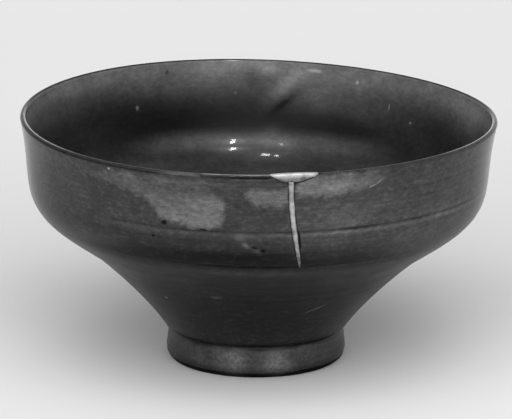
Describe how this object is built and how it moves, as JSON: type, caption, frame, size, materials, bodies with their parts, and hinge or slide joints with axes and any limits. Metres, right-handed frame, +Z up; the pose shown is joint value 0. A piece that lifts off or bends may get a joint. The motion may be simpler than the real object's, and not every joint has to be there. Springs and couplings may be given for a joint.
{
  "type": "tea bowl",
  "caption": "Thrown stoneware tea bowl with a flaring wall, rounded hip and bulged foot ring, its chipped and cracked rim mended in pale lacquer.",
  "frame": {"origin": "on the ground, under the middle of the rim's outline", "axes": "+Z up along the bowl's axis; the mended side of the rim faces -Y; +X to the right seen from that side"},
  "size_m": [0.132, 0.132, 0.07],
  "materials": {
    "dark_glaze": "satin dark glaze, streaked, over stoneware",
    "foot_glaze": "thin satin wash on the turned foot",
    "fill_lacquer": "pale burnished lacquer with metal powder",
    "seam_lacquer": "pale worn lacquer with metal powder"
  },
  "bodies": {
    "root": {"bowl_body": "dark_glaze", "foot_ring": "foot_glaze", "rim_chip_fill": "fill_lacquer", "crack_seam_outer": "seam_lacquer", "crack_seam_inner": "seam_lacquer"}
  },
  "joints": []
}
